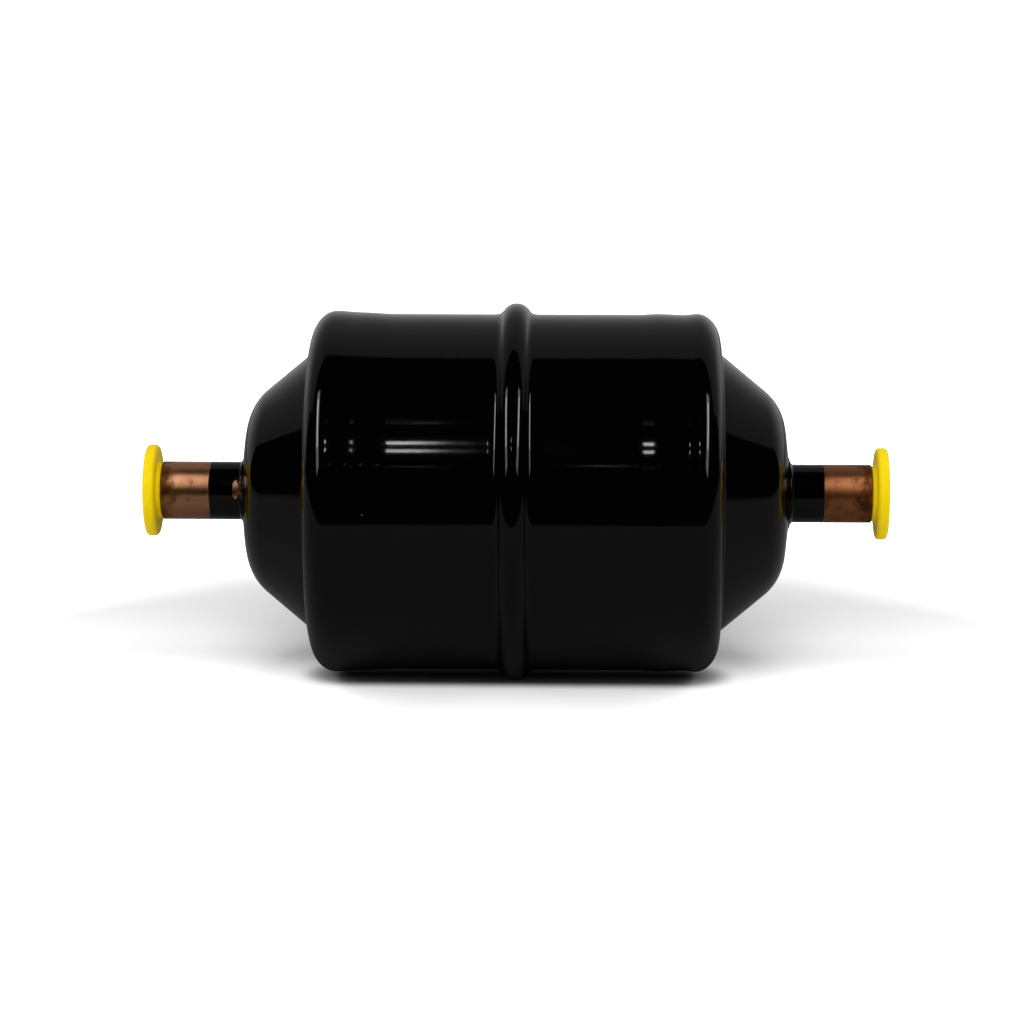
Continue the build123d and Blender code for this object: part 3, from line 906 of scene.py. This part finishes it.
class DRIER_OT_spring(bpy.types.Operator):
    """Wind the conical spring that presses on the core"""
    bl_idname = "drier.spring"
    bl_label = "Core spring"

    def execute(self, context):
        s = settings(DrierSpring)
        low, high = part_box("core_spring")
        base = bpy.data.meshes.new("core_spring_base")
        base.from_pydata([(0, 0, 0)], [], [])
        wire = steel_finish("spring_wire", 0.62, 0.22, (0.2, 1.0, 1.0))
        spring = grown("coned_spring", base, tree_named("Conical spring", spring_tree), {
            "Segments": s.segments, "Wire Radius": s.wire_radius, "Turns": s.turns,
            "Closed End": s.dead_turn, "Start Angle": s.start_angle,
            "Large Radius": high.z - s.wire_radius, "Small Radius": s.small_radius,
            "Large End": high.x - s.wire_radius, "Small End": low.x + s.wire_radius,
            "Material": wire})
        placed(spring, "drier", "spring_steel", "core_spring")
        return {"FINISHED"}


class DRIER_OT_inner_parts(bpy.types.Operator):
    """Finish the pressed plates, wire cloth, pads and core inside the shell"""
    bl_idname = "drier.inner_parts"
    bl_label = "Inner parts"

    def execute(self, context):
        cloth = wire_cloth("woven_wire")
        felt = fibre_mat("needled_felt", (0.78, 0.76, 0.70), (0.52, 0.50, 0.45), 900.0, 0.0002)
        finishes = {
            "spring_plate": steel_finish("plate_steel", 0.66, 0.26, (1.0, 1.0, 0.15)),
            "support_cup": steel_finish("cup_steel", 0.66, 0.26, (1.0, 0.15, 1.0)),
            "inlet_pad": felt,
            "core_gasket": felt,
            "filter_mat": fibre_mat(
                "bonded_fibre", (0.90, 0.84, 0.52), (0.62, 0.55, 0.28), 1400.0, 0.0003),
            "desiccant_core": moulded_core("bonded_beads"),
            "upstream_screen": cloth,
            "downstream_screen": cloth,
            "outlet_strainer": cloth,
        }
        for node, finish in finishes.items():
            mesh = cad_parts[node].data
            mesh.materials.clear()
            mesh.materials.append(finish)
        return {"FINISHED"}


def area_lamp(name, place, width, height, glow, along=(0, 0, 1)):
    """Rectangular lamp facing the drier, as bright as a sheet of that glow."""
    data = bpy.data.lights.new(name, "AREA")
    data.shape = "RECTANGLE"
    data.size, data.size_y = width, height
    data.energy = glow * pi * width * height
    lamp = bpy.data.objects.new(name, data)
    bpy.context.scene.collection.objects.link(lamp)
    back = Vector(place).normalized()
    across = Vector(along).cross(back).normalized()
    turn = Matrix((across, back.cross(across), back)).transposed()
    lamp.matrix_world = Matrix.Translation(place) @ turn.to_4x4()
    lamp.visible_camera = False
    return lamp


def towards(azimuth, elevation, distance):
    """Place at a distance from the drier, azimuth 0 being the camera's side."""
    a, e = radians(azimuth), radians(elevation)
    return Vector((sin(a) * cos(e), -cos(a) * cos(e), sin(e))) * distance


def sheet_material(name):
    """Matt sheet, and the kinds of ray that its colours depend on."""
    finish = Finish(name)
    rays = finish.tree.nodes.new("ShaderNodeLightPath").outputs
    finish.set(Roughness=0.9, Specular_IOR_Level=0.0, Emission_Color=(1.0, 1.0, 1.0, 1.0))
    return finish, rays


def table_finish(shade):
    """Table top: plain white to the camera away from the drier, with a painted shadow behind it and
    along the contact, and painted light that thins the shadow before and beside it.
    """
    finish, rays = sheet_material("table_white")
    plain = finish.mix(rays["Is Glossy Ray"], (0.94, 0.94, 0.945), shade)
    axes = finish.axes()
    out = finish.math("ABSOLUTE", axes["X"])
    past_end = finish.math("MAXIMUM", finish.math("SUBTRACT", out, CONTACT_HALF), 0.0)
    from_contact = finish.math("SQRT", finish.math(
        "ADD", finish.math("POWER", past_end, 2.0), finish.math("POWER", axes["Y"], 2.0)))

    # Painted light: the camera sees the table glow before the drier and beside it, thinning its
    # shadow there, and far from it, where the table turns plain white.
    before = finish.ramp(axes["Y"], 0.020, -0.014, 0.03, 0.60)
    nearer = finish.ramp(axes["Y"], -0.016, -0.034, 1.0, 0.72)
    before = finish.math("MULTIPLY", before, nearer)
    before = finish.math("MULTIPLY", before, finish.ramp(from_contact, 0.006, 0.013))
    # Painted light beside the drier, past its ends, thinning its shadow.
    beside = finish.math("MULTIPLY", finish.ramp(out, 0.040, 0.075, 0.0, 0.27),
                         finish.ramp(axes["Y"], 0.072, 0.030))
    far = finish.ramp(finish.distance((0.0, 0.0, 0.0)), 0.105, 0.17)
    white_and_painted_light = finish.math("MAXIMUM", finish.math("ADD", before, beside), far)
    finish.drive("Emission Strength", finish.math("MULTIPLY", rays["Is Camera Ray"], white_and_painted_light))

    # Painted shadow: the table's colour is darker behind the drier and along the contact, wider as
    # gloss shows it.
    shadow_middle = (0.0, 0.045, CAD_BOX[0].z)
    behind = finish.ramp(finish.distance(shadow_middle), 0.03, 0.10, 0.72, 1.0)
    reach = finish.math("MULTIPLY_ADD", rays["Is Glossy Ray"], 0.014, 0.012)
    # Painted contact shadow: the table's colour dims towards the line where the drier touches it.
    painted_shadow = finish.math("MULTIPLY", behind, finish.ramp(from_contact, 0.0, reach, 0.06, 1.0))
    finish.drive("Base Color", finish.mix(painted_shadow, (0.0, 0.0, 0.0), plain))
    return finish.material


def backdrop_finish(stage):
    """Backdrop: white to the camera, and brighter near its foot as gloss shows it."""
    finish, rays = sheet_material("backdrop_white")
    finish.set(Base_Color=(0.05, 0.05, 0.05, 1.0))
    foot, top = stage.backdrop * 1.55, stage.backdrop * 0.70
    height = finish.ramp(finish.axes()["Z"], 0.1, 0.75, foot, top)
    plain = finish.math("MAXIMUM", rays["Is Camera Ray"], stage.ambient)
    glossy = rays["Is Glossy Ray"]
    glow = finish.math("ADD", finish.math("MULTIPLY", glossy, height), finish.math(
        "MULTIPLY", plain, finish.math("SUBTRACT", 1.0, glossy)))
    finish.drive("Emission Strength", glow)
    return finish.material


def lay_floor(stage):
    """Table top under the drier, with its front edge before the camera."""
    level = CAD_BOX[0].z - 0.0001
    side = TABLE_SIDE
    mesh = bpy.data.meshes.new("table_top")
    corners = [(-side, TABLE_FRONT, level), (side, TABLE_FRONT, level),
               (side, TABLE_BACK, level), (-side, TABLE_BACK, level)]
    mesh.from_pydata(corners, [], [(0, 1, 2, 3)])
    floor = bpy.data.objects.new("table_top", mesh)
    bpy.context.scene.collection.objects.link(floor)
    mesh.materials.append(table_finish(tuple(stage.floor)))


def hang_backdrop(stage):
    """Sheet that rises behind the drier and curves over it."""
    points = []
    for i in range(BACKDROP_STEPS + 1):
        turn = BACKDROP_FROM + (BACKDROP_TO - BACKDROP_FROM) * i / BACKDROP_STEPS
        points.append((BACKDROP_RADIUS * cos(turn), BACKDROP_RADIUS * sin(turn)))
    low = [(-TABLE_SIDE, y, z) for y, z in points]
    high = [(TABLE_SIDE, y, z) for y, z in points]
    count = len(points)
    faces = [(i, i + 1, count + i + 1, count + i) for i in range(count - 1)]
    mesh = bpy.data.meshes.new("backdrop")
    mesh.from_pydata(low + high, [], faces)
    sheet = bpy.data.objects.new("backdrop", mesh)
    bpy.context.scene.collection.objects.link(sheet)
    mesh.materials.append(backdrop_finish(stage))
    mesh.shade_smooth()


def dark_room(stage):
    """World that is white to the camera, soft ambient light, and dark to gloss."""
    world = bpy.data.worlds.new("dark_room")
    bpy.context.scene.world = world
    world.use_nodes = True
    tree = world.node_tree
    seen = tree.nodes.new("ShaderNodeLightPath").outputs["Is Camera Ray"]
    glow = maths(tree, "MULTIPLY_ADD", seen, 1.0 - stage.ambient, stage.ambient)
    background = tree.nodes["Background"]
    background.inputs["Color"].default_value = (1.0, 1.0, 1.0, 1.0)
    tree.links.new(glow, background.inputs["Strength"])
    world.cycles_visibility.glossy = False


def set_camera(stage):
    """Camera before the drier, a little above it and turned to the outlet."""
    data = bpy.data.cameras.new("camera")
    data.lens, data.sensor_width = stage.lens, 36.0
    data.clip_start, data.clip_end = 0.05, 20.0
    camera = bpy.data.objects.new("camera", data)
    bpy.context.scene.collection.objects.link(camera)
    a, e = stage.azimuth, stage.elevation
    back = Vector((sin(a) * cos(e), -cos(a) * cos(e), sin(e)))
    facing = (-back).to_track_quat("-Z", "Y").to_matrix().to_4x4()
    place = Vector(CAMERA_AIM) + back * stage.distance
    camera.matrix_world = Matrix.Translation(place) @ facing
    bpy.context.scene.camera = camera


class DRIER_OT_stage(bpy.types.Operator):
    """Set up the camera, lamps, floor and backdrop"""
    bl_idname = "drier.stage"
    bl_label = "Stage"

    def execute(self, context):
        stage = settings(DrierStage)
        context.scene.view_settings.view_transform = "Standard"
        set_camera(stage)
        lay_floor(stage)
        hang_backdrop(stage)
        dark_room(stage)
        side_lamps = (
            ("softbox", SOFTBOX, stage.softbox),
            ("softbox_core", SOFTBOX_CORE, stage.softbox_core),
        )
        for side in (-1, 1):
            for name, (azimuth, elevation, away, width, height), glow in side_lamps:
                place = towards(azimuth * side, elevation, away)
                area_lamp(name, place, width, height, glow, SOFTBOX_LEAN)
        for name, place, width, height, glow in SMALL_LAMPS:
            area_lamp(name, place, width, height, glow)
        return {"FINISHED"}


class DRIER_PT_panel(bpy.types.Panel):
    """Lists the drier's operators and sizes"""
    bl_idname = "DRIER_PT_panel"
    bl_label = "Filter drier"
    bl_space_type = "VIEW_3D"
    bl_region_type = "UI"
    bl_category = "Drier"

    def draw(self, context):
        for operator in OPERATORS:
            self.layout.operator(operator.bl_idname)
        for group in GROUPS:
            box = self.layout.box()
            box.label(text=group.__doc__)
            for name in group.__annotations__:
                box.prop(settings(group), name)


OPERATORS = (
    DRIER_OT_stage,
    DRIER_OT_shell,
    DRIER_OT_weld,
    DRIER_OT_stubs,
    DRIER_OT_braze,
    DRIER_OT_plugs,
    DRIER_OT_spring,
    DRIER_OT_inner_parts,
)


def register():
    for kind in GROUPS + OPERATORS + (DRIER_PT_panel,):
        bpy.utils.register_class(kind)
    for group in GROUPS:
        pointer = bpy.props.PointerProperty(type=group)
        setattr(bpy.types.Scene, "drier_" + group.__name__[5:].lower(), pointer)


def unregister():
    for group in GROUPS:
        delattr(bpy.types.Scene, "drier_" + group.__name__[5:].lower())
    for kind in reversed(GROUPS + OPERATORS + (DRIER_PT_panel,)):
        bpy.utils.unregister_class(kind)


def main():
    """Makes every piece and the stage."""
    register()
    for operator in OPERATORS:
        area, action = operator.bl_idname.split(".")
        getattr(getattr(bpy.ops, area), action)()


if __name__ == "__main__":
    main()
